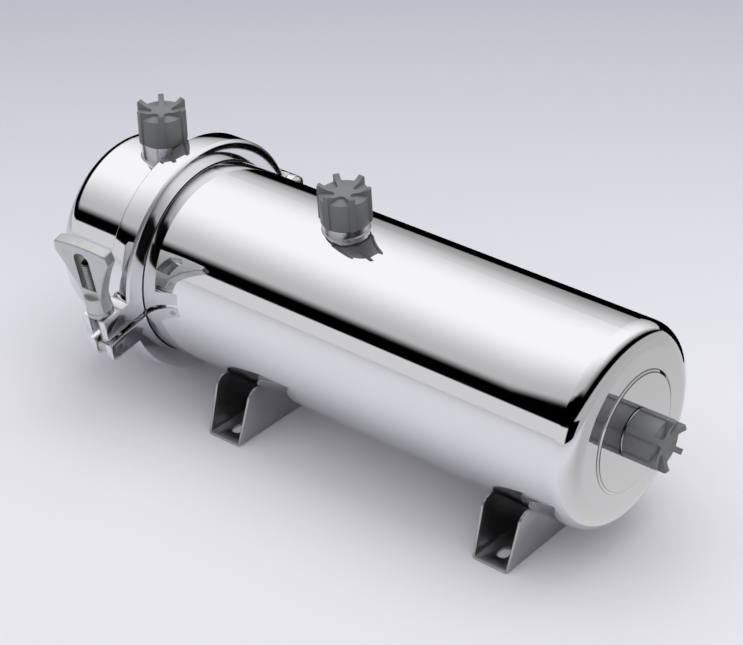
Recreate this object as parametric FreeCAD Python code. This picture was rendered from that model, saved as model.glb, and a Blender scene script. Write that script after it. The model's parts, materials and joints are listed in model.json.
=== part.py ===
import FreeCAD, Part
import math
import os

# Ultrafiltration water filter: a horizontal steel housing on two feet, with a hinged clamp,
# three capped ports and a hollow fibre cartridge. Sizes are in millimetres.
# The origin is midway between the two slots of the foot nearer the clamp, on the base plane.
# X runs along the shell to its closed end, Y to the back and Z up.

# Shell and cover
shell_od = 129.0
shell_wall = 2.0
axis_height = 84.5
joint_x = -73.0
shell_end_x = 262.5
knuckle_radius = 13.0
seat_radius = 36.8
seat_rise = 1.2
seat_slope = 1.6
cover_length = 68.2
weld_gap = 0.05

# Clamp rims
rim_height = 8.0
rim_thickness = 2.8
rim_slope_deg = 20.0
rim_neck_length = 8.5
gasket_thickness = 1.6
gasket_margin = 0.4
bead_radius = 1.6
bead_inset = 4.5
bead_clearance = 0.05

# Clamp
clamp_tilt_deg = 12.5
band_thickness = 5.5
band_width = 19.0
band_chamfer = 1.8
band_lip_clearance = 0.7
groove_clearance = 0.3
split_gap = 4.4
ear_length = 20.5
ear_width = 19.0
lower_ear_thickness = 13.2
upper_ear_thickness = 13.9
ear_corner_radius = 3.0

# Clamp hinge
hinge_standoff = 8.0
hinge_pin_diameter = 6.0
knuckle_outer_radius = 5.5
middle_knuckle_length = 7.4
knuckle_gap = 0.3
hinge_arm_thickness = 7.0
hinge_head_radius = 5.2
hinge_head_length = 4.5
hinge_head_rim = 1.6
hinge_tail_length = 2.5
hinge_tail_flare = 1.0
running_clearance = 0.06

# Swing bolt and its nut
bolt_diameter = 8.0
bolt_inset = 7.5
bolt_pivot_depth = 9.0
bolt_end_above_nut_base = 37.1
bolt_slot_clearance = 0.5
bolt_end_chamfer = 1.0
eye_radius = 6.5
eye_width = 8.4
bolt_pin_diameter = 6.0
seat_crown = 1.9
washer_diameter = 17.0
washer_thickness = 3.0
washer_bore_clearance = 0.2
washer_seat_gap = 0.2
nut_washer_gap = 0.1
nut_turn_deg = 3.5
nut_collar_radius = 8.3
nut_height = 51.6
nut_top_width = 43.5
nut_waist_width = 15.0
nut_waist_height = 11.0
nut_shoulder_height = 42.6
nut_thickness = 8.5
nut_crown = 1.6
nut_corner_step = 1.5
nut_flare_inset = 8.3
nut_root_height = 1.0
nut_corner_radius = 2.2
nut_edge_radius = 1.2
nut_thread_clearance = 0.08
window_bottom = 17.0
window_top = 46.2
window_width = 12.0

# Ports
thread_diameter = 26.4
thread_length = 14.0
port_bore = 20.0
port_collar_diameter = 29.0
port_collar_root = 8.0
shell_port_x = 53.9
shell_port_lean_deg = 4.5
shell_port_collar_height = 5.0
cover_port_from_joint = 26.5
cover_port_lean_deg = 2.0
cover_port_collar_height = 10.6
end_port_collar_height = 0.5
thread_end_chamfer = 1.0

# Caps and their seals
cap_body_diameter = 31.0
cap_rib_diameter = 33.2
cap_rib_count = 6
cap_rib_width = 3.6
cap_rib_lead = 0.8
cap_roof_thickness = 2.2
cap_star_height = 1.5
cap_horn_height = 3.6
cap_horn_nose = 1.2
cap_hub_flat_radius = 4.5
cap_pocket_corner = 2.5
cap_rim_gap = 0.4
cap_thread_clearance = 0.1
seal_thickness = 2.0
seal_clearance = 0.3
seal_bore = 8.0
seal_gap = 0.1
shell_cap_turn_deg = 26.7
cover_cap_turn_deg = 13.9
end_cap_turn_deg = 52.1

# Feet
right_foot_from_end = 53.5
foot_depth = 126.0
foot_width = 25.6
foot_sheet = 1.5
foot_bend_radius = 2.0
foot_wall_flare = 1.5
foot_top_depth = 104.0
foot_wall_height = 37.0
foot_corner_radius = 8.0
slot_spacing = 96.0
slot_width = 7.5
slot_length = 11.0

# Cartridge
head_ring_depth = 10.5
sleeve_wall = 2.5
sleeve_front_inset = 6.0
sleeve_rear_inset = 19.0
sleeve_window_rows = 3
sleeve_window_columns = 8
sleeve_window_width = 12.0
sleeve_window_length = 52.0
head_ring_length = 20.0
head_ring_clearance = 0.3
resin_length = 26.0
resin_proud = 1.0
bundle_clearance = 1.0
o_ring_section = 4.0
o_ring_squeeze_gap = 0.05
o_ring_groove_side = 0.2
bond_gap = 0.05

# How far a cutting shape passes the surface it cuts, and how closely edges are matched
overshoot = 1.0
match_tolerance = 0.01

# Worked out from the sizes above
shell_radius = shell_od / 2
bore_radius = shell_radius - shell_wall
rim_radius = shell_radius + rim_height
bead_circle_radius = rim_radius - bead_inset
band_radius = rim_radius + band_thickness
ear_reach = band_radius + ear_length
bolt_offset = ear_reach - bolt_inset
hinge_radius = band_radius + hinge_standoff
split_half = split_gap / 2
seat_height = bolt_pivot_depth + split_half + upper_ear_thickness + seat_crown
band_half = band_width / 2
slot_half = bolt_diameter / 2 + bolt_slot_clearance
axis_point = FreeCAD.Vector(0, 0, axis_height)
AXIS_X = FreeCAD.Vector(1, 0, 0)
AXIS_Y = FreeCAD.Vector(0, 1, 0)
AXIS_Z = FreeCAD.Vector(0, 0, 1)


def vec(x, y, z):
    return FreeCAD.Vector(x, y, z)


def same(a, b):
    """Whether two measurements are equal as far as edges are matched."""
    return abs(a - b) < match_tolerance


def polygon_face(points):
    """A flat face with straight edges through the points."""
    return Part.Face(Part.makePolygon(points + [points[0]]))


def turned(profile):
    """A ring or disc turned about the shell's axis from points of x and radius."""
    points = [vec(x, 0, axis_height + radius) for x, radius in profile]
    return polygon_face(points).revolve(axis_point, AXIS_X, 360)


def turned_wire(edges):
    """The same from a closed outline of edges that holds arcs."""
    face = Part.Face(Part.Wire(Part.__sortEdges__(edges)))
    return face.revolve(axis_point, AXIS_X, 360)


def line(a, b):
    return Part.LineSegment(a, b).toShape()


def arc(a, b, c):
    """An arc from a to c by way of b."""
    return Part.Arc(a, b, c).toShape()


def rod_x(radius, x0, x1, y=0.0, z=axis_height):
    """A round rod along X."""
    return Part.makeCylinder(radius, x1 - x0, vec(x0, y, z), AXIS_X)


def block(x0, x1, y0, y1, z0, z1):
    return Part.makeBox(x1 - x0, y1 - y0, z1 - z0, vec(x0, y0, z0))


def tilted(shape, degrees):
    """The shape turned about the shell's axis, with its top going to the front."""
    turned_shape = shape.copy()
    turned_shape.rotate(axis_point, AXIS_X, degrees)
    return turned_shape


def one_solid(shape):
    """The single solid of a result that a boolean leaves inside a compound."""
    return shape.Solids[0] if len(shape.Solids) == 1 else shape


def edges_at_radius(shape, axis, radius, at):
    """Circular edges of that radius about the axis direction, at one place along it."""
    found = []
    for edge in shape.Edges:
        curve = edge.Curve
        if not isinstance(curve, Part.Circle):
            continue
        place = curve.Center.dot(axis)
        if same(curve.Radius, radius) and same(place, at):
            found.append(edge)
    return found


# Ports
def stub(collar_height):
    """A threaded stub along Z with its collar's foot at zero, before it is fitted to a wall."""
    collar = Part.makeCylinder(port_collar_diameter / 2, collar_height)
    top = collar_height + thread_length
    thread = Part.makeCylinder(thread_diameter / 2, top)
    body = collar.fuse(thread).removeSplitter()
    rim = edges_at_radius(body, AXIS_Z, thread_diameter / 2, top)
    return body.makeChamfer(thread_end_chamfer, rim)


def wall_port(collar_height, x, lean):
    """A stub on top of a round wall, with a spigot through it that ends flush inside."""
    place = vec(x, 0, axis_height + shell_radius)
    body = stub(collar_height + port_collar_root)
    body.translate(place - vec(0, 0, port_collar_root))
    body = body.cut(rod_x(shell_radius + weld_gap, x - port_collar_diameter, x + port_collar_diameter))
    spigot_length = port_collar_root + shell_wall * 2
    spigot = Part.makeCylinder(thread_diameter / 2, spigot_length, place - vec(0, 0, spigot_length))
    spigot = spigot.cut(rod_x(bore_radius, x - port_collar_diameter, x + port_collar_diameter))
    body = body.fuse(spigot)
    passage = Part.makeCylinder(port_bore / 2, shell_od, vec(x, 0, axis_height))
    return tilted(one_solid(body.cut(passage).removeSplitter()), lean)


def port_hole(x, lean):
    """The hole that a wall port's spigot stands in."""
    hole = Part.makeCylinder(thread_diameter / 2 + weld_gap, shell_od, vec(x, 0, axis_height))
    return tilted(hole, lean)


def make_end_port():
    """The stub in the seat of the closed end."""
    body = stub(end_port_collar_height)
    spigot = Part.makeCylinder(thread_diameter / 2, shell_wall, vec(0, 0, -shell_wall))
    passage = Part.makeCylinder(port_bore / 2, shell_od, vec(0, 0, -shell_od / 2))
    body = one_solid(body.fuse(spigot).cut(passage).removeSplitter())
    return along_x(body, shell_end_x + seat_rise + weld_gap)


def along_x(shape, x):
    """A shape built along Z laid along the shell's axis with its zero at x."""
    laid = shape.copy()
    laid.rotate(vec(0, 0, 0), AXIS_Y, 90)
    laid.translate(vec(x, 0, axis_height))
    return laid


# Shell and cover
def cup_outline(mouth_x, end_x, radius, corner, seat):
    """Edges of half a cup from its axis at the mouth round to its axis at the end.

    The end has a round corner, and a seat above zero raises a disc in its middle.
    """
    away = 1 if end_x > mouth_x else -1
    z = axis_height
    bend = corner * (1 - math.sqrt(0.5))
    side_end = end_x - away * corner
    points = [vec(mouth_x, 0, z), vec(mouth_x, 0, z + radius), vec(side_end, 0, z + radius)]
    edges = [line(points[0], points[1]), line(points[1], points[2])]
    knuckle_mid = vec(end_x - away * bend, 0, z + radius - bend)
    flat_start = vec(end_x, 0, z + radius - corner)
    edges.append(arc(points[2], knuckle_mid, flat_start))
    end_centre = vec(end_x, 0, z)
    if seat > 0:
        step_foot = vec(end_x, 0, z + seat + seat_slope)
        step_top = vec(end_x + away * seat_rise, 0, z + seat)
        end_centre = vec(end_x + away * seat_rise, 0, z)
        edges += [line(flat_start, step_foot), line(step_foot, step_top), line(step_top, end_centre)]
    else:
        edges.append(line(flat_start, end_centre))
    edges.append(line(end_centre, points[0]))
    return edges


def make_shell():
    """The tube with its drawn end and pressed seat, with holes for two ports."""
    mouth = joint_x + rim_neck_length + weld_gap
    outer = turned_wire(cup_outline(mouth, shell_end_x, shell_radius, knuckle_radius, seat_radius))
    inner_seat = seat_radius - shell_wall / 2
    inner_corner = knuckle_radius - shell_wall
    inner = turned_wire(
        cup_outline(mouth - shell_wall, shell_end_x - shell_wall, bore_radius, inner_corner, inner_seat)
    )
    body = outer.cut(inner)
    body = body.cut(port_hole(shell_port_x, shell_port_lean_deg))
    hole_start = shell_end_x - knuckle_radius
    end_hole = rod_x(thread_diameter / 2 + weld_gap, hole_start, shell_end_x + knuckle_radius)
    return one_solid(body.cut(end_hole))


def make_cover():
    """The short cup, with a hole for its port."""
    mouth = joint_x - rim_neck_length - weld_gap
    end = joint_x - cover_length
    outer = turned_wire(cup_outline(mouth, end, shell_radius, knuckle_radius, 0))
    inner_corner = knuckle_radius - shell_wall
    inner = turned_wire(cup_outline(mouth + shell_wall, end + shell_wall, bore_radius, inner_corner, 0))
    body = outer.cut(inner)
    hole = port_hole(joint_x - cover_port_from_joint, cover_port_lean_deg)
    return one_solid(body.cut(hole))


def make_rim(away):
    """A clamp rim: flat face with a half-round bead groove, sloped back and weld neck."""
    face = joint_x + away * gasket_thickness / 2
    back = face + away * rim_thickness
    slope = math.tan(math.radians(rim_slope_deg))
    slope_foot = back + away * (rim_radius - shell_radius) * slope
    neck_end = joint_x + away * rim_neck_length
    body = turned([
        (face, bore_radius), (face, rim_radius), (back, rim_radius),
        (slope_foot, shell_radius), (neck_end, shell_radius), (neck_end, bore_radius),
    ])
    groove = Part.makeTorus(
        bead_circle_radius, bead_radius + bead_clearance, vec(face, 0, axis_height), AXIS_X
    )
    return one_solid(body.cut(groove))


def make_gasket():
    """A flat ring with a round bead that sits in both rims' grooves."""
    half = gasket_thickness / 2
    inner = bore_radius + gasket_margin
    outer = rim_radius - gasket_margin
    ring = turned([
        (joint_x - half, inner), (joint_x - half, outer),
        (joint_x + half, outer), (joint_x + half, inner),
    ])
    for x in (joint_x - half, joint_x + half):
        bead = Part.makeTorus(bead_circle_radius, bead_radius, vec(x, 0, axis_height), AXIS_X)
        ring = ring.fuse(bead)
    return one_solid(ring.removeSplitter())


# Clamp, built level with its ears at the front and then tilted
def band_ring():
    """The whole grooved ring, whose sloped groove follows the backs of the two rims."""
    lip = shell_radius + band_lip_clearance
    slope = math.tan(math.radians(rim_slope_deg))
    root = rim_radius + groove_clearance
    root_half = gasket_thickness / 2 + rim_thickness + groove_clearance
    lip_half = root_half + (root - lip) * slope
    flat_half = band_half - band_chamfer
    shoulder = band_radius - band_chamfer
    return turned([
        (joint_x - band_half, lip), (joint_x - band_half, shoulder),
        (joint_x - flat_half, band_radius), (joint_x + flat_half, band_radius),
        (joint_x + band_half, shoulder), (joint_x + band_half, lip),
        (joint_x + lip_half, lip), (joint_x + root_half, root),
        (joint_x - root_half, root), (joint_x - lip_half, lip),
    ])


def half_space(upper):
    """A block that holds everything on one side of the split."""
    reach = band_radius * 2
    low = axis_height + split_half if upper else axis_height - reach
    high = axis_height + reach if upper else axis_height - split_half
    return block(joint_x - band_width, joint_x + band_width, -reach, reach, low, high)


def ear_profile(points, radius):
    """An ear's side outline with its outer corners rounded, extruded across the ear."""
    face = polygon_face([vec(joint_x - ear_width / 2, y, z) for y, z in points])
    solid = face.extrude(vec(ear_width, 0, 0))
    outer_edges = [
        edge for edge in solid.Edges
        if len(edge.Vertexes) == 2
        and same(edge.Vertexes[0].Y, edge.Vertexes[1].Y)
        and same(edge.Vertexes[0].Z, edge.Vertexes[1].Z)
        and same(edge.Vertexes[0].Y, -ear_reach)
        and not same(abs(edge.Vertexes[0].Z - axis_height), split_half)
    ]
    return solid.makeFillet(radius, outer_edges)


def ring_keepout():
    """Room for the rims and the shell inside the ring."""
    return rod_x(rim_radius + groove_clearance, joint_x - band_width, joint_x + band_width)


def bolt_slot(inner_y, low, high):
    """The open slot between an ear's two prongs."""
    return block(joint_x - slot_half, joint_x + slot_half, -ear_reach - overshoot, inner_y, low, high)


def lower_ear():
    """The fork that holds the eye of the bolt, below the split."""
    top = axis_height - split_half
    low = top - lower_ear_thickness
    body = ear_profile(
        [(-shell_radius, top), (-ear_reach, top), (-ear_reach, low), (-shell_radius, low)],
        ear_corner_radius
    )
    body = body.cut(ring_keepout())
    slot_end = -bolt_offset + eye_radius + bolt_slot_clearance
    body = body.cut(bolt_slot(slot_end, low - overshoot, top + overshoot))
    pin_z = axis_height - bolt_pivot_depth
    hole = rod_x(bolt_pin_diameter / 2, joint_x - ear_width, joint_x + ear_width, -bolt_offset, pin_z)
    return body.cut(hole)


def upper_ear():
    """The fork that the nut pulls on, with a round seat about the bolt's pivot."""
    low = axis_height + split_half
    top = low + upper_ear_thickness
    body = ear_profile(
        [(-shell_radius, low), (-ear_reach, low), (-ear_reach, top), (-shell_radius, top)],
        ear_corner_radius / 2
    )
    pivot_z = axis_height - bolt_pivot_depth
    seat = rod_x(seat_height, joint_x - ear_width / 2, joint_x + ear_width / 2, -bolt_offset, pivot_z)
    seat_reach = washer_diameter / 2
    above = pivot_z + seat_height + overshoot
    window = block(joint_x - ear_width / 2, joint_x + ear_width / 2,
                   -ear_reach, -bolt_offset + seat_reach, low, above)
    body = body.fuse(seat.common(window)).removeSplitter()
    body = body.cut(ring_keepout())
    return body.cut(bolt_slot(-bolt_offset + slot_half, low - overshoot, above))


def knuckle(x0, x1, upper):
    """A hinge knuckle with the arm that joins it to its half of the ring."""
    side = 1 if upper else -1
    barrel = rod_x(knuckle_outer_radius, x0, x1, hinge_radius)
    near = axis_height + side * split_half
    far = axis_height + side * (split_half + hinge_arm_thickness)
    tip = axis_height + side * knuckle_outer_radius
    root_y = ring_shadow(split_half + hinge_arm_thickness)
    arm = polygon_face([
        vec(x0, root_y, near), vec(x0, hinge_radius, near),
        vec(x0, hinge_radius, tip), vec(x0, root_y, far),
    ]).extrude(vec(x1 - x0, 0, 0))
    return barrel.fuse(arm).cut(ring_keepout()).removeSplitter()


def ring_shadow(height):
    """How far back the ring's outer face stands at a height above the split's middle."""
    return math.sqrt(band_radius ** 2 - height ** 2) - band_chamfer * 2


def hinge_bore(radius):
    return rod_x(radius, joint_x - band_width, joint_x + band_width, hinge_radius)


def make_clamp_lower_half():
    """The fixed half of the clamp, with two outer knuckles and the bolt's fork."""
    inner = joint_x - middle_knuckle_length / 2 - knuckle_gap
    outer = joint_x + middle_knuckle_length / 2 + knuckle_gap
    body = band_ring().common(half_space(False))
    body = body.fuse(lower_ear())
    body = body.fuse(knuckle(joint_x - band_half, inner, False))
    body = body.fuse(knuckle(outer, joint_x + band_half, False))
    body = body.cut(hinge_bore(hinge_pin_diameter / 2)).removeSplitter()
    return tilted(one_solid(body), clamp_tilt_deg)


def make_clamp_upper_half():
    """The moving half of the clamp, with the middle knuckle and the nut's fork."""
    half = middle_knuckle_length / 2
    body = band_ring().common(half_space(True))
    body = body.fuse(upper_ear())
    body = body.fuse(knuckle(joint_x - half, joint_x + half, True))
    body = body.cut(hinge_bore(hinge_pin_diameter / 2 + running_clearance)).removeSplitter()
    return tilted(one_solid(body), clamp_tilt_deg)


def make_hinge_pin():
    """The pin with a domed head on the shell's side and a riveted tail."""
    shank = hinge_pin_diameter / 2
    flare = shank + hinge_tail_flare
    head_x = joint_x + band_half + weld_gap
    rim_x = head_x + hinge_head_rim
    tip_x = head_x + hinge_head_length
    tail_x = joint_x - band_half - weld_gap
    tail_end = tail_x - hinge_tail_length
    dome_height = hinge_head_length - hinge_head_rim
    dome_radius = (hinge_head_radius ** 2 + dome_height ** 2) / (2 * dome_height)
    dome_half_angle = math.asin(hinge_head_radius / dome_radius) / 2
    dome_centre_x = tip_x - dome_radius
    dome_middle = (
        dome_centre_x + dome_radius * math.cos(dome_half_angle), dome_radius * math.sin(dome_half_angle)
    )
    outline = [
        (tail_end, 0), (tail_end, shank), (tail_x - hinge_tail_length / 2, flare), (tail_x, flare),
        (tail_x, shank), (head_x, shank), (head_x, hinge_head_radius), (rim_x, hinge_head_radius),
    ]
    points = [vec(x, hinge_radius, axis_height + radius) for x, radius in outline]
    tip = vec(tip_x, hinge_radius, axis_height)
    between = vec(dome_middle[0], hinge_radius, axis_height + dome_middle[1])
    edges = [line(start, end) for start, end in zip(points, points[1:])]
    edges.append(arc(points[-1], between, tip))
    edges.append(line(tip, points[0]))
    face = Part.Face(Part.Wire(Part.__sortEdges__(edges)))
    pin = face.revolve(vec(0, hinge_radius, axis_height), AXIS_X, 360)
    return tilted(pin, clamp_tilt_deg)


# Swing bolt, washer and nut, built level at the front and tilted with the clamp
pivot_point = vec(joint_x, -bolt_offset, axis_height - bolt_pivot_depth)
washer_low = pivot_point.z + seat_height + washer_seat_gap
nut_base = washer_low + washer_thickness + nut_washer_gap
bolt_length = nut_base + bolt_end_above_nut_base - pivot_point.z


def make_swing_bolt():
    """The eye and the shank up to the bolt's chamfered end."""
    eye = rod_x(eye_radius, joint_x - eye_width / 2, joint_x + eye_width / 2, -bolt_offset, pivot_point.z)
    shank = Part.makeCylinder(bolt_diameter / 2, bolt_length, pivot_point)
    end_rim = edges_at_radius(shank, AXIS_Z, bolt_diameter / 2, pivot_point.z + bolt_length)
    shank = shank.makeChamfer(bolt_end_chamfer, end_rim)
    hole = rod_x(bolt_pin_diameter / 2 + running_clearance, joint_x - ear_width, joint_x + ear_width,
                 -bolt_offset, pivot_point.z)
    return tilted(one_solid(eye.fuse(shank).cut(hole).removeSplitter()), clamp_tilt_deg)


def make_bolt_pin():
    """The plain pin through the fork's prongs, flush with their sides."""
    pin = rod_x(bolt_pin_diameter / 2, joint_x - ear_width / 2, joint_x + ear_width / 2,
                -bolt_offset, pivot_point.z)
    return tilted(pin, clamp_tilt_deg)


def make_nut_washer():
    base = vec(joint_x, -bolt_offset, washer_low)
    disc = Part.makeCylinder(washer_diameter / 2, washer_thickness, base)
    bore = Part.makeCylinder(bolt_diameter / 2 + washer_bore_clearance, washer_thickness, base)
    return tilted(disc.cut(bore), clamp_tilt_deg)


def wing_outline():
    """Edges of the fan seen from the front: waist, flared sides and crowned top."""
    right = [
        vec(nut_waist_width / 2, 0, nut_root_height),
        vec(nut_waist_width / 2, 0, nut_waist_height),
        vec(nut_top_width / 2 - nut_flare_inset, 0, (nut_waist_height + nut_shoulder_height) / 2),
        vec(nut_top_width / 2, 0, nut_shoulder_height),
        vec(nut_top_width / 2 - nut_corner_step, 0, nut_height - nut_crown),
    ]
    left = [vec(-point.x, 0, point.z) for point in right]
    return [
        line(left[0], right[0]), line(right[0], right[1]), arc(right[1], right[2], right[3]),
        line(right[3], right[4]), arc(right[4], vec(0, 0, nut_height), left[4]),
        line(left[4], left[3]), arc(left[3], left[2], left[1]), line(left[1], left[0]),
    ]


def window_cut():
    """The slot through the fan where the bolt's end is seen."""
    half = window_width / 2
    low = window_bottom
    high = window_top - half
    slot = block(-half, half, -nut_thickness, nut_thickness, low, high)
    arch = Part.makeCylinder(half, nut_thickness * 2, vec(0, -nut_thickness, high), AXIS_Y)
    return slot.fuse(arch)


def make_wing_nut():
    """The cast nut: round collar and a thick fan with softened edges and a window."""
    fan = Part.Face(Part.Wire(Part.__sortEdges__(wing_outline())))
    fan.translate(vec(0, -nut_thickness / 2, 0))
    fan = fan.extrude(vec(0, nut_thickness, 0))
    corners = [
        edge for edge in fan.Edges
        if len(edge.Vertexes) == 2 and same(edge.Vertexes[0].Z, edge.Vertexes[1].Z)
        and same(edge.Vertexes[0].X, edge.Vertexes[1].X)
        and edge.Vertexes[0].Z > nut_waist_height + match_tolerance
    ]
    fan = fan.makeFillet(nut_corner_radius, corners)
    face_edges = [
        edge for edge in fan.Edges
        if same(edge.BoundBox.YMin, edge.BoundBox.YMax) and edge.BoundBox.ZMax > nut_waist_height
    ]
    fan = fan.makeFillet(nut_edge_radius, face_edges)
    collar = Part.makeCone(nut_collar_radius, nut_waist_width / 2, nut_waist_height)
    body = fan.fuse(collar)
    body = body.cut(Part.makeCylinder(bolt_diameter / 2 + nut_thread_clearance, window_bottom + overshoot))
    body = one_solid(body.cut(window_cut()).removeSplitter())
    body.rotate(vec(0, 0, 0), AXIS_Z, nut_turn_deg)
    body.translate(vec(joint_x, -bolt_offset, nut_base))
    return tilted(body, clamp_tilt_deg)


# Caps, built along Z with their open rim at zero
cavity_depth = thread_length - cap_rim_gap + seal_gap + seal_thickness + seal_gap
floor_height = cavity_depth + cap_roof_thickness
star_top = floor_height + cap_star_height
horn_top = star_top + cap_horn_height


def cap_dish():
    """A solid of the ribs' full width: straight sides and a dished top that rises to the horns."""
    outer = cap_rib_diameter / 2
    crest = outer - cap_horn_nose
    reach = crest - cap_hub_flat_radius
    sweep_radius = (reach ** 2 + cap_horn_height ** 2) / (2 * cap_horn_height)
    half_angle = math.asin(reach / sweep_radius) / 2
    sweep_middle = vec(
        cap_hub_flat_radius + sweep_radius * math.sin(half_angle), 0,
        star_top + sweep_radius * (1 - math.cos(half_angle))
    )
    nose_rise = cap_horn_nose * math.sqrt(0.5)
    nose_middle = vec(crest + nose_rise, 0, horn_top - cap_horn_nose + nose_rise)
    side_top = vec(outer, 0, horn_top - cap_horn_nose)
    side_foot = vec(outer, 0, cap_rib_lead)
    crest_point = vec(crest, 0, horn_top)
    hub_edge = vec(cap_hub_flat_radius, 0, star_top)
    hub_centre = vec(0, 0, star_top)
    corner = vec(outer - cap_rib_lead / 2, 0, 0)
    edges = [
        line(vec(0, 0, 0), corner), line(corner, side_foot), line(side_foot, side_top),
        arc(side_top, nose_middle, crest_point), arc(crest_point, sweep_middle, hub_edge),
        line(hub_edge, hub_centre), line(hub_centre, vec(0, 0, 0)),
    ]
    face = Part.Face(Part.Wire(Part.__sortEdges__(edges)))
    return face.revolve(vec(0, 0, 0), AXIS_Z, 360)


def cap_pocket():
    """The wedge between two ribs, with a round inner corner; it is cut away at full height."""
    spread = math.radians(180 / cap_rib_count)
    half = cap_rib_width / 2
    centre = (half + cap_pocket_corner) / math.sin(spread)
    far = cap_rib_diameter
    near = centre * math.cos(spread)
    sides = [
        vec(half * math.sin(spread) + along * math.cos(spread),
            along * math.sin(spread) - half * math.cos(spread), -overshoot)
        for along in (far, near)
    ]
    mirrored = [vec(point.x, -point.y, point.z) for point in sides]
    inner = vec(centre - cap_pocket_corner, 0, -overshoot)
    edges = [
        line(mirrored[0], sides[0]), line(sides[0], sides[1]),
        arc(sides[1], inner, mirrored[1]), line(mirrored[1], mirrored[0]),
    ]
    pocket = Part.Face(Part.Wire(Part.__sortEdges__(edges)))
    pocket = pocket.extrude(vec(0, 0, horn_top + 2 * overshoot))
    pocket.rotate(vec(0, 0, 0), AXIS_Z, 180 / cap_rib_count)
    return pocket


def make_cap():
    """The moulded cap: round wall, flat roof, a star of six ribs with horns, threaded cavity."""
    star = cap_dish()
    for number in range(cap_rib_count):
        pocket = cap_pocket()
        pocket.rotate(vec(0, 0, 0), AXIS_Z, number * 360 / cap_rib_count)
        star = star.cut(pocket)
    wall = Part.makeCylinder(cap_body_diameter / 2, floor_height)
    body = one_solid(star).fuse(wall)
    cavity = Part.makeCylinder(thread_diameter / 2 + cap_thread_clearance, cavity_depth)
    return one_solid(body.cut(cavity).removeSplitter())


def make_seal():
    """The rubber ring between the stub's end and the cap's roof."""
    low = cavity_depth - seal_gap - seal_thickness
    outer = thread_diameter / 2 - seal_clearance
    ring = Part.makeCylinder(outer, seal_thickness, vec(0, 0, low))
    return ring.cut(Part.makeCylinder(seal_bore / 2, seal_thickness, vec(0, 0, low)))


def on_wall_port(shape, x, lean, collar_height, turn):
    """A cap or its seal put on a port of the round wall."""
    placed = shape.copy()
    placed.rotate(vec(0, 0, 0), AXIS_Z, turn)
    placed.translate(vec(x, 0, axis_height + shell_radius + collar_height + cap_rim_gap))
    return tilted(placed, lean)


def on_end_port(shape, turn):
    """A cap or its seal put on the end port."""
    placed = shape.copy()
    placed.rotate(vec(0, 0, 0), AXIS_Z, turn)
    return along_x(placed, shell_end_x + seat_rise + weld_gap + end_port_collar_height + cap_rim_gap)


# Feet
def make_foot(x):
    """A foot folded from one sheet: a channel across the shell, its walls cut to the shell."""
    section = foot_trough(x, foot_width / 2, foot_depth / 2, 0, foot_bend_radius)
    inner_half = foot_width / 2 - foot_sheet
    inner_bend = foot_bend_radius - foot_sheet
    inside = foot_trough(x, inner_half, foot_depth / 2 + overshoot, foot_sheet, inner_bend)
    channel = section.cut(inside)
    channel = channel.common(foot_side_outline(x))
    channel = channel.cut(rod_x(shell_radius + weld_gap, x - foot_width, x + foot_width))
    for side in (-1, 1):
        channel = channel.cut(foot_slot(x, side * slot_spacing / 2))
    return channel.removeSplitter()


def foot_trough(x, half, depth, floor, bend):
    """A block across the shell that widens upwards, with its two lower long edges rounded."""
    lean = foot_wall_flare / foot_wall_height
    tall = foot_wall_height + overshoot
    spread = half + lean * (tall - floor)
    solid = polygon_face([
        vec(x - half, -depth, floor), vec(x + half, -depth, floor),
        vec(x + spread, -depth, tall), vec(x - spread, -depth, tall),
    ]).extrude(vec(0, depth * 2, 0))
    low_edges = [
        edge for edge in solid.Edges
        if same(edge.Vertexes[0].X, edge.Vertexes[1].X)
        and same(edge.Vertexes[0].Z, floor) and same(edge.Vertexes[1].Z, floor)
    ]
    return solid.makeFillet(bend, low_edges)


def foot_side_outline(x):
    """The walls' outline seen along the shell: sloped front and back, rounded shoulders."""
    bottom = foot_depth / 2
    top = foot_top_depth / 2
    points = [vec(x - foot_width, y, z) for y, z in (
        (-bottom, 0), (bottom, 0), (top, foot_wall_height), (-top, foot_wall_height)
    )]
    solid = polygon_face(points).extrude(vec(foot_width * 2, 0, 0))
    shoulders = [
        edge for edge in solid.Edges
        if same(edge.Vertexes[0].Z, foot_wall_height)
        and same(edge.Vertexes[0].Y, edge.Vertexes[1].Y)
        and same(edge.Vertexes[0].Z, edge.Vertexes[1].Z)
    ]
    return solid.makeFillet(foot_corner_radius, shoulders)


def foot_slot(x, y):
    """A bolt slot that runs across the shell."""
    half = slot_width / 2
    straight = slot_length / 2 - half
    top = foot_sheet + overshoot
    slot = block(x - half, x + half, y - straight, y + straight, -overshoot, top)
    for end in (y - straight, y + straight):
        slot = slot.fuse(Part.makeCylinder(half, top + overshoot, vec(x, end, -overshoot)))
    return slot


# Cartridge
sleeve_front = joint_x + sleeve_front_inset
sleeve_rear = shell_end_x - sleeve_rear_inset
sleeve_outer = bore_radius - head_ring_depth
sleeve_inner = sleeve_outer - sleeve_wall
ring_outer = bore_radius - head_ring_clearance
o_ring_circle = bore_radius - o_ring_squeeze_gap - o_ring_section / 2


def make_sleeve():
    """The sleeve with rows of windows that let the filtered water out."""
    body = turned([
        (sleeve_front, sleeve_inner), (sleeve_front, sleeve_outer),
        (sleeve_rear, sleeve_outer), (sleeve_rear, sleeve_inner),
    ])
    first = sleeve_front + resin_length
    span = (sleeve_rear - sleeve_front - 2 * resin_length) / sleeve_window_rows
    half_width = sleeve_window_width / 2
    for row in range(sleeve_window_rows):
        middle = first + span * (row + 0.5)
        low = middle - sleeve_window_length / 2
        high = middle + sleeve_window_length / 2
        for column in range(sleeve_window_columns // 2):
            window = block(low, high, -half_width, half_width,
                           axis_height - shell_radius, axis_height + shell_radius)
            window.rotate(axis_point, AXIS_X, column * 360 / sleeve_window_columns)
            body = body.cut(window)
    return one_solid(body)


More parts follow.
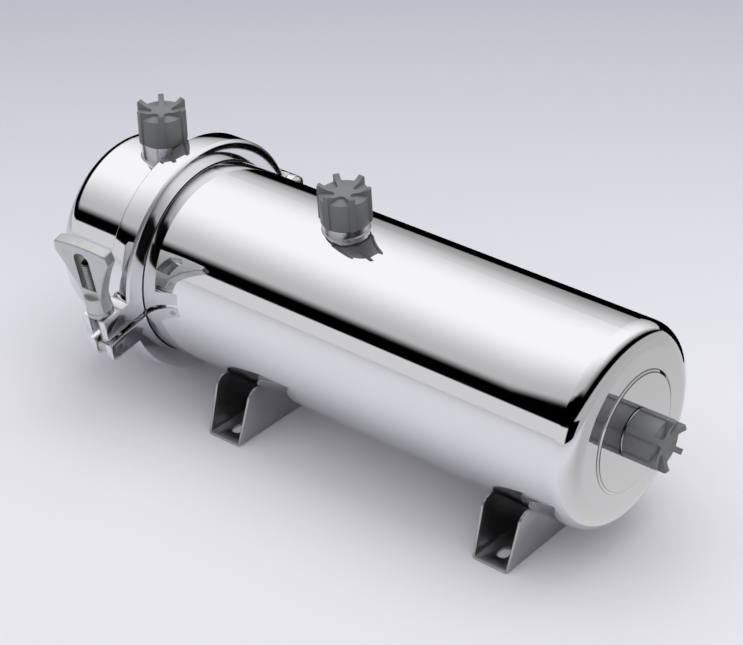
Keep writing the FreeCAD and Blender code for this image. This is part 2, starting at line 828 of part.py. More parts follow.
def make_head_ring(front):
    """A collar bonded over an end of the sleeve, with a groove for its seal."""
    low = sleeve_front if front else sleeve_rear - head_ring_length
    high = low + head_ring_length
    body = turned([
        (low, sleeve_outer + bond_gap), (low, ring_outer),
        (high, ring_outer), (high, sleeve_outer + bond_gap),
    ])
    middle = (low + high) / 2
    groove_half = o_ring_section / 2 + o_ring_groove_side
    floor = o_ring_circle - o_ring_section / 2 - bond_gap
    groove = turned([
        (middle - groove_half, floor), (middle - groove_half, bore_radius),
        (middle + groove_half, bore_radius), (middle + groove_half, floor),
    ])
    return one_solid(body.cut(groove))


def make_o_ring(front):
    low = sleeve_front if front else sleeve_rear - head_ring_length
    middle = low + head_ring_length / 2
    return Part.makeTorus(o_ring_circle, o_ring_section / 2, vec(middle, 0, axis_height), AXIS_X)


def make_resin_head(front):
    """The resin disc that holds the fibres' ends, a little proud of the sleeve."""
    radius = sleeve_inner - bond_gap
    if front:
        return rod_x(radius, sleeve_front - resin_proud, sleeve_front - resin_proud + resin_length)
    return rod_x(radius, sleeve_rear + resin_proud - resin_length, sleeve_rear + resin_proud)


def make_fibre_bundle():
    """The hollow fibres between the resin heads, as one packed round solid."""
    low = sleeve_front - resin_proud + resin_length
    high = sleeve_rear + resin_proud - resin_length
    return rod_x(sleeve_inner - bundle_clearance, low, high)


def build_parts():
    """Every piece of the filter under its own name."""
    cover_port_x = joint_x - cover_port_from_joint
    cap = make_cap()
    seal = make_seal()
    return {
        "shell": make_shell(),
        "shell_flange": make_rim(1),
        "shell_port": wall_port(shell_port_collar_height, shell_port_x, shell_port_lean_deg),
        "end_port": make_end_port(),
        "cover": make_cover(),
        "cover_flange": make_rim(-1),
        "cover_port": wall_port(cover_port_collar_height, cover_port_x, cover_port_lean_deg),
        "clamp_gasket": make_gasket(),
        "clamp_lower_half": make_clamp_lower_half(),
        "clamp_upper_half": make_clamp_upper_half(),
        "hinge_pin": make_hinge_pin(),
        "swing_bolt": make_swing_bolt(),
        "bolt_pin": make_bolt_pin(),
        "nut_washer": make_nut_washer(),
        "wing_nut": make_wing_nut(),
        "shell_cap": on_wall_port(cap, shell_port_x, shell_port_lean_deg, shell_port_collar_height,
                                  shell_cap_turn_deg),
        "shell_cap_seal": on_wall_port(seal, shell_port_x, shell_port_lean_deg,
                                       shell_port_collar_height, 0),
        "cover_cap": on_wall_port(cap, cover_port_x, cover_port_lean_deg, cover_port_collar_height,
                                  cover_cap_turn_deg),
        "cover_cap_seal": on_wall_port(seal, cover_port_x, cover_port_lean_deg,
                                       cover_port_collar_height, 0),
        "end_cap": on_end_port(cap, end_cap_turn_deg),
        "end_cap_seal": on_end_port(seal, 0),
        "left_foot": make_foot(0),
        "right_foot": make_foot(shell_end_x - right_foot_from_end),
        "cartridge_sleeve": make_sleeve(),
        "front_head_ring": make_head_ring(True),
        "rear_head_ring": make_head_ring(False),
        "front_o_ring": make_o_ring(True),
        "rear_o_ring": make_o_ring(False),
        "front_resin_head": make_resin_head(True),
        "rear_resin_head": make_resin_head(False),
        "fibre_bundle": make_fibre_bundle(),
    }


def main():
    os.makedirs("parts", exist_ok=True)
    for name, shape in build_parts().items():
        if not shape.isValid() or len(shape.Solids) != 1:
            raise ValueError(f"{name}: {len(shape.Solids)} solids, valid {shape.isValid()}")
        shape.exportStep(f"parts/{name}.step")
        print(name, round(shape.Volume / 1000, 2), "cm3")


if __name__ == "__main__":
    main()
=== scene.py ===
import json
import math

import bmesh
import bpy
from bpy.props import FloatProperty, FloatVectorProperty, IntProperty, PointerProperty, StringProperty
from mathutils import Matrix, Vector


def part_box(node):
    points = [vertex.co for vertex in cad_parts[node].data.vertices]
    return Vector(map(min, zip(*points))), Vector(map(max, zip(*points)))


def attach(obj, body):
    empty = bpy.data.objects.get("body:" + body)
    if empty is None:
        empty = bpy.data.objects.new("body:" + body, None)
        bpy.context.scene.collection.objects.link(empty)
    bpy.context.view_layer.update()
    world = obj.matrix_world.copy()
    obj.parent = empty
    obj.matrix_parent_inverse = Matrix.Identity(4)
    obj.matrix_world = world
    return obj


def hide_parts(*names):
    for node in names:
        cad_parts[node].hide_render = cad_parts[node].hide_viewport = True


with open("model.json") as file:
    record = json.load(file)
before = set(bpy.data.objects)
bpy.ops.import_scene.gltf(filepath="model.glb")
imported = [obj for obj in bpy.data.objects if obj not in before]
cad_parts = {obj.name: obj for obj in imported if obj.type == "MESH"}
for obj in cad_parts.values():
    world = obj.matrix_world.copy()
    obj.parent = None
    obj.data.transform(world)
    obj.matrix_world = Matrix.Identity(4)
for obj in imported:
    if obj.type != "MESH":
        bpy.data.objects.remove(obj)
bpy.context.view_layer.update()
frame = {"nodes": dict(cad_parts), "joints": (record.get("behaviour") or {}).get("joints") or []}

bl_info = {
    "name": "Ultrafiltration water filter",
    "version": (1, 0, 0),
    "blender": (4, 5, 0),
    "location": "View3D > Sidebar > Filter",
    "description": "Finishes for a polished steel filter housing with a ring clamp and capped ports",
    "category": "Object",
}

NODES = frame["nodes"]
JOINTS = {joint["name"]: joint for joint in frame["joints"]}
MM = 0.001
UP = Vector((0, 0, 1))
# Places closer than this are the same place
TOUCH = 0.001 * MM


# Settings
class FilterFinishes(bpy.types.PropertyGroup):
    """Colours of the filter's finishes and of the shade painted into them, as sRGB hex values."""

    polished_steel: StringProperty(
        name="Polished steel", description="Shell, cover and clamp band", default="#E2E2E4")
    # Painted shade that darkens the two creases of the pressed ring
    painted_crease_shade: StringProperty(
        name="Painted crease shade", description="Shade painted into the creases of the pressed ring",
        default="#2A2A2C")
    satin_steel: StringProperty(
        name="Satin steel", description="Feet, ports, pins and bolt", default="#B9B9BB")
    # Painted shade that darkens the roots of the bolt's thread
    thread_root_shade: StringProperty(
        name="Thread root shade", description="Shade painted into the roots of the bolt's thread", default="#1E1E1C")
    cast_steel: StringProperty(
        name="Cast steel", description="Wing nut", default="#C4C6C6")
    cap_plastic: StringProperty(
        name="Cap plastic", description="Moulded port caps", default="#727375")
    rubber: StringProperty(
        name="Rubber", description="Gasket and seals", default="#26262A")
    sleeve_plastic: StringProperty(
        name="Sleeve plastic", description="Cartridge sleeve and its collars", default="#E6E8EA")
    resin: StringProperty(
        name="Potting resin", description="Resin at the cartridge's ends", default="#D9CFAE")
    fibre: StringProperty(
        name="Hollow fibre", description="Packed fibres", default="#F0F0EC")


class FilterEdges(bpy.types.PropertyGroup):
    """Sizes of the rounded edges, the clamp's chamfer and the ring pressed in the end."""

    clamp_edge: FloatProperty(
        name="Clamp edge", description="Rounding of the clamp's edges", default=0.2 * MM, unit="LENGTH")
    clamp_chamfer: FloatProperty(
        name="Clamp chamfer", description="Width of the chamfer on both sides of the clamp's band",
        default=1.8 * MM, unit="LENGTH")
    cap_edge: FloatProperty(
        name="Cap edge", description="Rounding of the caps' edges", default=0.8 * MM, unit="LENGTH")
    foot_edge: FloatProperty(
        name="Foot edge", description="Rounding of the feet's edges", default=0.2 * MM, unit="LENGTH")
    ring_inner: FloatProperty(
        name="Ring inside", description="Radius of the pressed ring's inner crease",
        default=36.8 * MM, unit="LENGTH")
    ring_outer: FloatProperty(
        name="Ring outside", description="Radius of the pressed ring's outer crease",
        default=38.4 * MM, unit="LENGTH")


class FilterThreads(bpy.types.PropertyGroup):
    """Sizes of the bolt's thread, and of the ports with their threads, collars and welds."""

    bolt_pitch: FloatProperty(
        name="Bolt pitch", description="Advance of the bolt's thread in a turn",
        default=1.25 * MM, unit="LENGTH")
    bolt_depth: FloatProperty(
        name="Bolt thread depth", description="Radial depth of the bolt's thread",
        default=0.7 * MM, unit="LENGTH")
    bolt_eye_top: FloatProperty(
        name="Bolt eye top", description="Where the thread starts above the middle of the bolt's eye",
        default=9 * MM, unit="LENGTH")
    port_pitch: FloatProperty(
        name="Port pitch", description="Advance of the pipe thread in a turn",
        default=1.814 * MM, unit="LENGTH")
    port_depth: FloatProperty(
        name="Port thread depth", description="Radial depth of the pipe thread",
        default=1.1 * MM, unit="LENGTH")
    port_thread_length: FloatProperty(
        name="Port thread length", description="Threaded length of a port",
        default=14 * MM, unit="LENGTH")
    port_bore: FloatProperty(
        name="Port bore", description="Diameter of the passage in a port",
        default=20 * MM, unit="LENGTH")
    collar_diameter: FloatProperty(
        name="Collar diameter", description="Diameter of the plain collar under a port's thread",
        default=29 * MM, unit="LENGTH")
    collar_edge: FloatProperty(
        name="Collar edge", description="Chamfer on the collar's edge", default=0.5 * MM, unit="LENGTH")
    collar_root: FloatProperty(
        name="Collar root", description="How deep the collar stands in the wall",
        default=1.9 * MM, unit="LENGTH")
    weld_size: FloatProperty(
        name="Weld size", description="Radius of the polished weld at a port's foot",
        default=0.75 * MM, unit="LENGTH")
    lead: FloatProperty(
        name="Lead", description="Length of the taper at a thread's end", default=1 * MM, unit="LENGTH")
    overlap: FloatProperty(
        name="Overlap", description="How far a thread reaches into the plain part under it",
        default=0.3 * MM, unit="LENGTH")
    steps: IntProperty(
        name="Steps in a turn", description="Flats in one turn of a thread", default=64, min=24)


class FilterStage(bpy.types.PropertyGroup):
    """The camera, the floor and the studio lights."""

    camera_place: FloatVectorProperty(
        name="Camera place", description="Where the camera stands",
        default=(0.8226, -0.9325, 0.8095), subtype="TRANSLATION")
    camera_target: FloatVectorProperty(
        name="Camera target", description="The point at the picture's centre",
        default=(0.0694, 0.0, 0.0843), subtype="TRANSLATION")
    camera_lens: FloatProperty(
        name="Focal length", description="Focal length on a 36 mm sensor, in millimetres",
        default=109.9, subtype="DISTANCE_CAMERA")
    floor_colour: StringProperty(
        name="Floor", description="Pale paper under the filter", default="#EAEAEF")
    # The far colour is painted shade, where the light falls off towards the back
    floor_far_colour: StringProperty(
        name="Far floor", description="The paper behind the filter", default="#BDBDC9")
    background_colour: StringProperty(
        name="Background", description="What the camera sees past the floor", default="#D4D4DC")
    key_power: FloatProperty(
        name="Key power", description="Power of the overhead lamp", default=8.0, unit="POWER")
    fill: FloatProperty(
        name="Fill", description="Brightness of the light from all sides on matt surfaces",
        default=0.81, subtype="FACTOR", min=0, max=1)


# Colours and nodes
def linear(hex_colour):
    """A linear colour with alpha from an sRGB hex value."""
    channels = [int(hex_colour[i:i + 2], 16) / 255 for i in (1, 3, 5)]
    curve = [c / 12.92 if c <= 0.04045 else ((c + 0.055) / 1.055) ** 2.4 for c in channels]
    return (*curve, 1.0)


def add_node(tree, kind, inputs=None, **settings):
    """A new node; an input is a value, a socket, or a node that stands for its first output."""
    node = tree.nodes.new(kind)
    for name, value in settings.items():
        setattr(node, name, value)
    for key, value in (inputs or {}).items():
        if isinstance(value, bpy.types.Node):
            value = value.outputs[0]
        if isinstance(value, bpy.types.NodeSocket):
            tree.links.new(value, node.inputs[key])
        else:
            node.inputs[key].default_value = value
    return node


def new_material(name):
    """A node material without nodes, its tree, and a point's place on the object."""
    material = bpy.data.materials.new(name)
    material.use_nodes = True
    tree = material.node_tree
    tree.nodes.clear()
    return material, tree, add_node(tree, "ShaderNodeTexCoord").outputs["Object"]


def per_metre(size_mm):
    """A texture scale that puts one cell of the pattern on that many millimetres."""
    return 1000 / size_mm


def duller_chamfers(tree, place, roughness, middle, half_width, chamfer):
    """Roughness that rises on a band's chamfers, where the wheel is held less, and less on its sides."""
    chamfer_extra, side_extra = 0.3, -0.24
    along = add_node(tree, "ShaderNodeSeparateXYZ", {"Vector": place}).outputs["X"]
    off = add_node(tree, "ShaderNodeMath", {0: along, 1: middle}, operation="SUBTRACT")
    off = add_node(tree, "ShaderNodeMath", {0: off}, operation="ABSOLUTE")
    for start, end, extra in (
        (half_width - 1.1 * chamfer, half_width - chamfer, chamfer_extra),
        (half_width - 0.15 * MM, half_width - 0.05 * MM, side_extra),
    ):
        dull = add_node(tree, "ShaderNodeMapRange", {
            "Value": off, "From Min": start, "From Max": end, "To Min": 0.0, "To Max": extra,
        })
        roughness = add_node(tree, "ShaderNodeMath", {0: roughness, 1: dull}, operation="ADD")
    return roughness


def creased_shade(tree, place, shade, painted_crease_shade, centre, inner, outer):
    """Painted shade: a colour that darkens in the two creases of a pressed ring, less so on its lower half.
    """
    line_core, line_edge = 0.25 * MM, 0.5 * MM
    end_depth = -3 * MM
    offset = add_node(tree, "ShaderNodeVectorMath", {0: place, 1: centre}, operation="SUBTRACT")
    across = add_node(tree, "ShaderNodeVectorMath", {0: offset, 1: (0.0, 1.0, 1.0)}, operation="MULTIPLY")
    radius = add_node(tree, "ShaderNodeVectorMath", {0: across}, operation="LENGTH").outputs["Value"]
    off = radius
    for size in ((inner + outer) / 2, (outer - inner) / 2):
        off = add_node(tree, "ShaderNodeMath", {0: off, 1: size}, operation="SUBTRACT")
        off = add_node(tree, "ShaderNodeMath", {0: off}, operation="ABSOLUTE")
    line = add_node(tree, "ShaderNodeMapRange", {
        "Value": off, "From Min": line_core, "From Max": line_edge, "To Min": 1.0, "To Max": 0.0,
    })
    split = add_node(tree, "ShaderNodeSeparateXYZ", {"Vector": offset})
    on_end = add_node(tree, "ShaderNodeMath", {
        0: split.outputs["X"], 1: end_depth,
    }, operation="GREATER_THAN")
    # The painted shade is stronger on the upper half of the ring and weaker on the lower half
    upper = add_node(tree, "ShaderNodeMapRange", {
        "Value": split.outputs["Z"], "From Min": -inner, "From Max": 0.0, "To Min": 0.1, "To Max": 0.8,
    })
    for share in (on_end, upper):
        line = add_node(tree, "ShaderNodeMath", {0: line, 1: share}, operation="MULTIPLY")
    mix = add_node(tree, "ShaderNodeMix", {"Factor": line, 6: shade, 7: painted_crease_shade}, data_type="RGBA")
    return mix.outputs[2]


# Materials
def polished_steel(name, colour, band=None, ring=None):
    """Stainless steel, buffed to a mirror: clean reflections, with a faint waviness from drawing.

    The wheel doesn't reach all of it. A band's chamfers and sides stay duller: band gives its middle
    along X, half its width and its chamfer. A pressed ring gets painted shade in its two creases: ring
    gives the painted shade's colour, the ring's centre and both radii.
    """
    material, tree, place = new_material(name)
    haze = add_node(tree, "ShaderNodeTexNoise", {"Vector": place, "Scale": per_metre(9), "Detail": 3.0})
    roughness = add_node(tree, "ShaderNodeMapRange", {
        "Value": haze, "From Min": 0.35, "From Max": 0.65, "To Min": 0.03, "To Max": 0.05,
    })
    if band:
        roughness = duller_chamfers(tree, place, roughness, *band)
    shade = linear(colour)
    if ring:
        # Painted shade in the pressed ring's creases
        shade = creased_shade(tree, place, shade, *ring)
    wave = add_node(tree, "ShaderNodeTexNoise", {"Vector": place, "Scale": per_metre(45), "Detail": 1.0})
    bump = add_node(tree, "ShaderNodeBump", {"Strength": 0.12, "Distance": 0.1 * MM, "Height": wave})
    shader = add_node(tree, "ShaderNodeBsdfPrincipled", {
        "Base Color": shade, "Metallic": 1.0, "Roughness": roughness, "Normal": bump,
    })
    add_node(tree, "ShaderNodeOutputMaterial", {"Surface": shader})
    return material


def brushed_steel(name, colour, grain_axis, roughness_low, roughness_high, thread=None):
    """Stainless steel, linished with a fine belt: soft reflections drawn out along the grain.

    A screw thread gets painted shade in its roots: thread gives the painted shade's colour, a point on
    its axis, its direction and the radii of root and crest.
    """
    material, tree, place = new_material(name)
    grit = per_metre(0.25)
    stretch = [grit, grit, grit]
    stretch["XYZ".index(grain_axis)] = grit / 60
    mapping = add_node(tree, "ShaderNodeMapping", {"Vector": place, "Scale": stretch})
    grain = add_node(tree, "ShaderNodeTexNoise", {
        "Vector": mapping, "Scale": 1.0, "Detail": 4.0, "Roughness": 0.6,
    })
    roughness = add_node(tree, "ShaderNodeMapRange", {
        "Value": grain, "From Min": 0.3, "From Max": 0.7,
        "To Min": roughness_low, "To Max": roughness_high,
    })
    bump = add_node(tree, "ShaderNodeBump", {"Strength": 0.25, "Distance": 0.02 * MM, "Height": grain})
    shade = linear(colour)
    if thread:
        root_shade, point, direction, root, crest = thread
        offset = add_node(tree, "ShaderNodeVectorMath", {0: place, 1: point}, operation="SUBTRACT")
        across = add_node(tree, "ShaderNodeVectorMath", {
            0: offset, 1: direction,
        }, operation="CROSS_PRODUCT")
        radius = add_node(tree, "ShaderNodeVectorMath", {0: across}, operation="LENGTH").outputs["Value"]
        # Share of the steel's own colour: 0 in the thread's root, where painted shade darkens it, 1 at the
        # crest
        clean = add_node(tree, "ShaderNodeMapRange", {
            "Value": radius, "From Min": root, "From Max": crest, "To Min": 0.0, "To Max": 1.0,
        })
        shade = add_node(tree, "ShaderNodeMix", {
            "Factor": clean, 6: root_shade, 7: shade,
        }, data_type="RGBA").outputs[2]
    shader = add_node(tree, "ShaderNodeBsdfPrincipled", {
        "Base Color": shade, "Metallic": 1.0, "Roughness": roughness, "Normal": bump,
    })
    add_node(tree, "ShaderNodeOutputMaterial", {"Surface": shader})
    return material


def cast_steel(name, colour):
    """Investment cast stainless steel, tumbled: pale, satin and slightly grainy."""
    material, tree, place = new_material(name)
    grain = add_node(tree, "ShaderNodeTexNoise", {"Vector": place, "Scale": per_metre(0.6), "Detail": 4.0})
    cloud = add_node(tree, "ShaderNodeTexNoise", {"Vector": place, "Scale": per_metre(7), "Detail": 2.0})
    roughness = add_node(tree, "ShaderNodeMapRange", {
        "Value": cloud, "From Min": 0.3, "From Max": 0.7, "To Min": 0.36, "To Max": 0.5,
    })
    bump = add_node(tree, "ShaderNodeBump", {"Strength": 0.35, "Distance": 0.05 * MM, "Height": grain})
    shader = add_node(tree, "ShaderNodeBsdfPrincipled", {
        "Base Color": linear(colour), "Metallic": 1.0, "Roughness": roughness, "Normal": bump,
    })
    add_node(tree, "ShaderNodeOutputMaterial", {"Surface": shader})
    return material


def moulded_plastic(name, colour, roughness_low, roughness_high, grain_mm, grain_depth_mm):
    """Moulded plastic, rubber or resin: an even colour with the fine grain of its mould."""
    material, tree, place = new_material(name)
    grain = add_node(tree, "ShaderNodeTexNoise", {
        "Vector": place, "Scale": per_metre(grain_mm), "Detail": 2.0,
    })
    cloud = add_node(tree, "ShaderNodeTexNoise", {"Vector": place, "Scale": per_metre(12), "Detail": 2.0})
    roughness = add_node(tree, "ShaderNodeMapRange", {
        "Value": cloud, "From Min": 0.3, "From Max": 0.7,
        "To Min": roughness_low, "To Max": roughness_high,
    })
    bump = add_node(tree, "ShaderNodeBump", {
        "Strength": 0.3, "Distance": grain_depth_mm * MM, "Height": grain,
    })
    shader = add_node(tree, "ShaderNodeBsdfPrincipled", {
        "Base Color": linear(colour), "Roughness": roughness, "IOR": 1.49, "Normal": bump,
    })
    add_node(tree, "ShaderNodeOutputMaterial", {"Surface": shader})
    return material


def packed_fibre(name, colour):
    """A bundle of fine hollow fibres: a pale matt surface with lines along the shell."""
    material, tree, place = new_material(name)
    fibre = per_metre(1.2)
    mapping = add_node(tree, "ShaderNodeMapping", {"Vector": place, "Scale": (fibre / 80, fibre, fibre)})
    strands = add_node(tree, "ShaderNodeTexNoise", {"Vector": mapping, "Scale": 1.0})
    bump = add_node(tree, "ShaderNodeBump", {"Strength": 0.6, "Distance": 0.3 * MM, "Height": strands})
    shader = add_node(tree, "ShaderNodeBsdfPrincipled", {
        "Base Color": linear(colour), "Roughness": 0.7, "Normal": bump,
    })
    add_node(tree, "ShaderNodeOutputMaterial", {"Surface": shader})
    return material


def finish_nodes(names, material):
    """Puts one material on CAD nodes."""
    for name in names:
        mesh = NODES[name].data
        mesh.materials.clear()
        mesh.materials.append(material)


# Measures of the CAD nodes
def top_along(node, foot, direction):
    """How far a CAD node reaches from a point along a direction."""
    return max((vert.co - foot).dot(direction) for vert in NODES[node].data.vertices)


def widest_about(node, foot, direction, low, high):
    """The largest radius of a CAD node about an axis, between two heights on it."""
    widest = 0.0
    for vert in NODES[node].data.vertices:
        offset = vert.co - foot
        along = offset.dot(direction)
        if low <= along <= high:
            widest = max(widest, (offset - direction * along).length)
    return widest


# Shapes
def merged_copy(node):
    """A bmesh of a CAD node with its loose triangles joined."""
    work = bmesh.new()
    work.from_mesh(NODES[node].data)
    bmesh.ops.remove_doubles(work, verts=work.verts, dist=TOUCH)
    return work


def cut_level(work, height, **cleared):
    """Cuts a shape at a height, clears the side that is named, and gives the cut."""
    everything = list(work.verts) + list(work.edges) + list(work.faces)
    return bmesh.ops.bisect_plane(
        work, geom=everything, dist=TOUCH / 10, plane_co=(0, 0, height), plane_no=UP, **cleared)["geom_cut"]


def cut_off(work, height):
    """Removes what is above that height and closes the cut."""
    cut = cut_level(work, height, clear_outer=True)
    rim = [item for item in cut if isinstance(item, bmesh.types.BMEdge)]
    bmesh.ops.triangle_fill(work, edges=rim, use_beauty=True)


def spun_thread(work, low, high, radius, depth, pitch, steps):
    """A screw thread's skin about Z, made by spinning its profile by one turn with an advance."""
    turns = math.ceil((high - low) / pitch) + 3
    start = low - 2 * pitch
    # Each corner's share of the pitch and its depth
    profile = [(0.0, depth), (0.40, 0.0), (0.52, 0.0), (0.92, depth)]
    verts = []
    for turn in range(turns):
        for share, drop in profile:
            verts.append(work.verts.new((radius - drop, 0, start + (turn + share) * pitch)))
    edges = [work.edges.new(pair) for pair in zip(verts, verts[1:])]
    bmesh.ops.spin(
        work, geom=verts + edges, cent=(0, 0, 0), axis=UP, dvec=(0, 0, pitch / steps),
        angle=2 * math.pi, steps=steps, use_merge=False, use_duplicate=False)
    bmesh.ops.remove_doubles(work, verts=work.verts, dist=2 * TOUCH)


def thread_barrel(low, high, radius, depth, pitch, steps, bore, lead):
    """A closed threaded rod, or a threaded tube where bore isn't zero, from low to high along Z."""
    work = bmesh.new()
    spun_thread(work, low, high, radius, depth, pitch, steps)
    cut_level(work, low, clear_inner=True)
    cut_level(work, high, clear_outer=True)
    for vert in work.verts:
        limit = radius - max(0.0, vert.co.z - (high - lead))
        across = Vector((vert.co.x, vert.co.y, 0))
        if across.length > limit:
            vert.co.xy = across.xy * (limit / across.length)
    for height in (low, high):
        rim = [
            edge for edge in work.edges
            if edge.is_boundary and all(abs(vert.co.z - height) < TOUCH for vert in edge.verts)
        ]
        if bore:
            ring = bmesh.ops.create_circle(
                work, segments=steps, radius=bore / 2, matrix=Matrix.Translation((0, 0, height)))
            rim += list({edge for vert in ring["verts"] for edge in vert.link_edges})
        bmesh.ops.triangle_fill(work, edges=rim, use_beauty=True)
    if bore:
        inner = [
            edge for edge in work.edges
            if all(abs(vert.co.xy.length - bore / 2) < TOUCH for vert in edge.verts)
            and abs(edge.verts[0].co.z - edge.verts[1].co.z) < TOUCH
        ]
        bmesh.ops.bridge_loops(work, edges=inner)
    bmesh.ops.recalc_face_normals(work, faces=work.faces)
    return work


def spin_round(work, verts, edges, steps):
    """Turns a closed section about Z into a solid ring."""
    bmesh.ops.spin(
        work, geom=verts + edges, cent=(0, 0, 0), axis=UP, dvec=(0, 0, 0),
        angle=2 * math.pi, steps=steps, use_merge=True, use_duplicate=False)


def turned_collar(threads, top, foot):
    """The plain collar under a port's thread, turned from a section of radius and height."""
    outer = threads.collar_diameter / 2
    inner = threads.port_bore / 2
    edge = threads.collar_edge
    section = [(inner, foot), (outer, foot), (outer, top - edge), (outer - edge, top), (inner, top)]
    work = bmesh.new()
    verts = [work.verts.new((radius, 0, height)) for radius, height in section]
    edges = [work.edges.new(pair) for pair in zip(verts, verts[1:] + verts[:1])]
    spin_round(work, verts, edges, 2 * threads.steps)
    bmesh.ops.recalc_face_normals(work, faces=work.faces)
    return work


def weld_bead(threads, surface, curved):
    """The round bead at a port's foot, laid on a flat face or on a curved wall of that radius."""
    radius = threads.collar_diameter / 2
    upright = Matrix.Translation((radius, 0, 0)) @ Matrix.Rotation(math.radians(90), 4, "X")
    work = bmesh.new()
    ring = bmesh.ops.create_circle(work, segments=12, radius=threads.weld_size, matrix=upright)["verts"]
    edges = list({edge for vert in ring for edge in vert.link_edges})
    spin_round(work, ring, edges, 2 * threads.steps)
    for vert in work.verts:
        vert.co.z += math.sqrt(surface ** 2 - vert.co.y ** 2) if curved else surface
    bmesh.ops.recalc_face_normals(work, faces=work.faces)
    return work


def add_to(work, other):
    """Moves one bmesh into another."""
    mesh = bpy.data.meshes.new("part")
    other.to_mesh(mesh)
    other.free()
    work.from_mesh(mesh)
    bpy.data.meshes.remove(mesh)


def standing(foot, direction):
    """The move of a shape made along Z from the origin to its foot and direction."""
    return Matrix.Translation(foot) @ UP.rotation_difference(direction).to_matrix().to_4x4()


# Objects
def in_scene(name, data):
    """An object in the scene for a mesh, a lamp or a camera."""
    thing = bpy.data.objects.new(name, data)
    bpy.context.scene.collection.objects.link(thing)
    return thing


def mesh_object(name, work, material):
    """An object in the scene from a bmesh, which is used up."""
    mesh = bpy.data.meshes.new(name)
    work.to_mesh(mesh)
    work.free()
    mesh.materials.append(material)
    return in_scene(name, mesh)


def new_piece(name, work, material, body, node, sharp_deg=30):
    """A finished piece from a bmesh, in place of a CAD node."""
    piece = mesh_object(name, work, material)
    piece.data.shade_smooth()
    piece.data.set_sharp_from_angle(angle=math.radians(sharp_deg))
    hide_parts(node)
    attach(piece, body)


def softened_piece(node, body, width, material):
    """A copy of a CAD node with its sharp edges rounded as casting, moulding or deburring leaves them."""
    flat, sharp_from, shaded_sharp = 1, 35, 40
    work = merged_copy(node)
    bmesh.ops.dissolve_limit(
        work, angle_limit=math.radians(flat), use_dissolve_boundaries=False,
        verts=work.verts, edges=work.edges, delimit=set())
    sharp = [
        edge for edge in work.edges
        if len(edge.link_faces) == 2 and edge.calc_face_angle(0) > math.radians(sharp_from)
    ]
    bmesh.ops.bevel(
        work, geom=sharp, offset=width, offset_type="OFFSET", segments=2, profile=0.5,
        affect="EDGES", clamp_overlap=True, material=-1, harden_normals=False)
    bmesh.ops.triangulate(work, faces=work.faces)
    new_piece(node + "_softened", work, material, body, node, shaded_sharp)


# Operators
class FILTER_OT_housing(bpy.types.Operator):
    """Polish the shell, the cover and their clamp rims"""

    bl_idname = "filter.housing"
    bl_label = "Finish the housing"

    def execute(self, context):
        finishes = context.scene.filter_finishes
        edges = context.scene.filter_edges
        low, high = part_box("shell")
        centre = Vector((high[0], 0, (low[2] + high[2]) / 2))
        # The pressed ring's creases get painted shade
        ring = (linear(finishes.painted_crease_shade), centre, edges.ring_inner, edges.ring_outer)
        mirror = polished_steel("Mirror polished stainless steel", finishes.polished_steel, ring=ring)
        finish_nodes(["shell", "cover", "shell_flange", "cover_flange"], mirror)
        return {"FINISHED"}


class FILTER_OT_clamp(bpy.types.Operator):
    """Polish the clamp's halves and finish its pins and the nut's washer"""

    bl_idname = "filter.clamp"
    bl_label = "Finish the clamp"

    def execute(self, context):
        finishes = context.scene.filter_finishes
        edges = context.scene.filter_edges
        low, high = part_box("clamp_upper_half")
        band = ((low[0] + high[0]) / 2, (high[0] - low[0]) / 2, edges.clamp_chamfer)
        steel = polished_steel("Polished cast stainless steel", finishes.polished_steel, band=band)
        for node, body in (("clamp_lower_half", "housing"), ("clamp_upper_half", "clamp_upper")):
            softened_piece(node, body, edges.clamp_edge, steel)
        pins = brushed_steel("Turned stainless steel", finishes.satin_steel, "X", 0.22, 0.3)
        finish_nodes(["hinge_pin", "bolt_pin", "nut_washer"], pins)
        return {"FINISHED"}


class FILTER_OT_swing_bolt(bpy.types.Operator):
    """Model the swing bolt with its screw thread"""

    bl_idname = "filter.swing_bolt"
    bl_label = "Model the swing bolt"

    def execute(self, context):
        finishes = context.scene.filter_finishes
        threads = context.scene.filter_threads
        pivot = Vector(JOINTS["nut_turn"]["pos_m"])
        direction = Vector(JOINTS["nut_turn"]["axis"]).normalized()
        end = top_along("swing_bolt", pivot, direction)
        # The radius is measured over this length of the bolt's end
        measured = 8 * MM
        radius = widest_about("swing_bolt", pivot, direction, end - measured, end)
        # The thread's roots get painted shade
        thread = (linear(finishes.thread_root_shade), pivot, direction, radius - threads.bolt_depth, radius)
        steel = brushed_steel(
            "Rolled stainless bolt steel", finishes.satin_steel, "Z", 0.2, 0.3, thread)
        work = merged_copy("swing_bolt")
        work.transform(standing(pivot, direction).inverted())
        cut_off(work, threads.bolt_eye_top)
        add_to(work, thread_barrel(
            threads.bolt_eye_top - threads.overlap, end, radius, threads.bolt_depth,
            threads.bolt_pitch, threads.steps, 0, threads.lead))
        work.transform(standing(pivot, direction))
        new_piece("swing_bolt_threaded", work, steel, "swing_bolt", "swing_bolt")
        return {"FINISHED"}


class FILTER_OT_wing_nut(bpy.types.Operator):
    """Finish the cast wing nut"""

    bl_idname = "filter.wing_nut"
    bl_label = "Finish the wing nut"

    def execute(self, context):
        steel = cast_steel("Tumbled cast steel", context.scene.filter_finishes.cast_steel)
        finish_nodes(["wing_nut"], steel)
        return {"FINISHED"}


